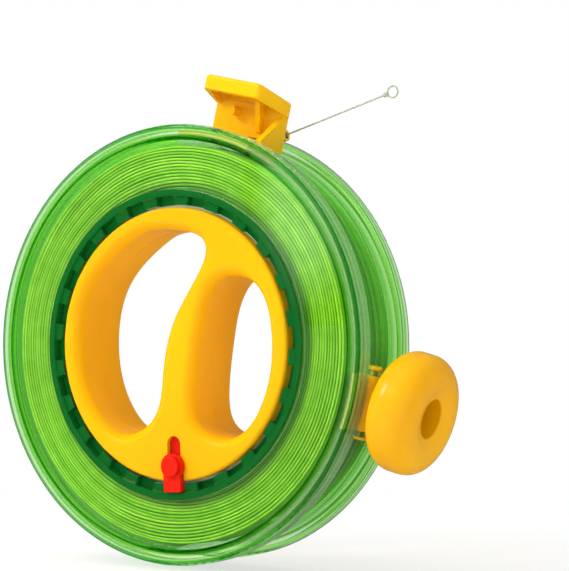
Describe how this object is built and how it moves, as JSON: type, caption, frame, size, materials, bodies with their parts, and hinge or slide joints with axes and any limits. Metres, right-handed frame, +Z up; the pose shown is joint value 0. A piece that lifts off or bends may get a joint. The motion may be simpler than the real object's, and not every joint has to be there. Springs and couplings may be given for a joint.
{
  "type": "kite line winder",
  "caption": "Hand-held kite line winder: transparent round casing around a spool of line, turning grip disc with hand holes, brake, rim knob and line guide.",
  "frame": {"origin": "on the reel's axis, at mid depth of the casing", "axes": "+Y along the reel's axis from the front face to the back, +Z up with the line guide on top, +X to the right of someone facing the front, towards the knob"},
  "size_m": [0.2056, 0.048, 0.2009],
  "materials": {
    "clear_green": "transparent green polycarbonate, polished",
    "dark_green": "deep green moulded plastic, semi-gloss",
    "yellow": "yellow ABS, semi-gloss",
    "red": "red ABS, semi-gloss",
    "steel": "zinc-plated steel, turned",
    "eyelet": "hard polished ring",
    "acetal": "natural acetal, matte",
    "line": "braided polyester line, lime",
    "free_line": "braided polyester line, grey-green"
  },
  "bodies": {
    "casing": {"front_shell": "clear_green", "rear_shell": "clear_green", "lock_ring": "dark_green", "line_guide": "yellow", "guide_eyelet": "eyelet", "guide_screws": "steel", "knob_bracket": "yellow", "bracket_pin": "yellow", "knob_axle": "steel", "knob_washer": "steel", "kite_line": "free_line", "line_loop": "free_line"},
    "reel": {"grip_front": "yellow", "grip_rear": "yellow", "grip_screws": "steel", "spool": "clear_green", "line_pack": "line", "front_bearing": "acetal", "rear_bearing": "acetal", "detent_ball": "steel", "detent_spring": "steel"},
    "brake": {"brake_slider": "red"},
    "knob": {"knob": "yellow", "knob_bush": "acetal"}
  },
  "joints": [
    {"name": "reel_spin", "type": "hinge", "parent": "casing", "child": "reel", "pos_m": [0, 0, 0], "axis": [0, 1, 0], "continuous": true},
    {"name": "brake_slide", "type": "slide", "parent": "reel", "child": "brake", "axis": [-0.0454, 0, 0.999], "range_m": [0, 0.0055]},
    {"name": "knob_spin", "type": "hinge", "parent": "casing", "child": "knob", "pos_m": [0.09677, 0, -0.02521], "axis": [0.9677, 0, -0.2521], "continuous": true}
  ]
}
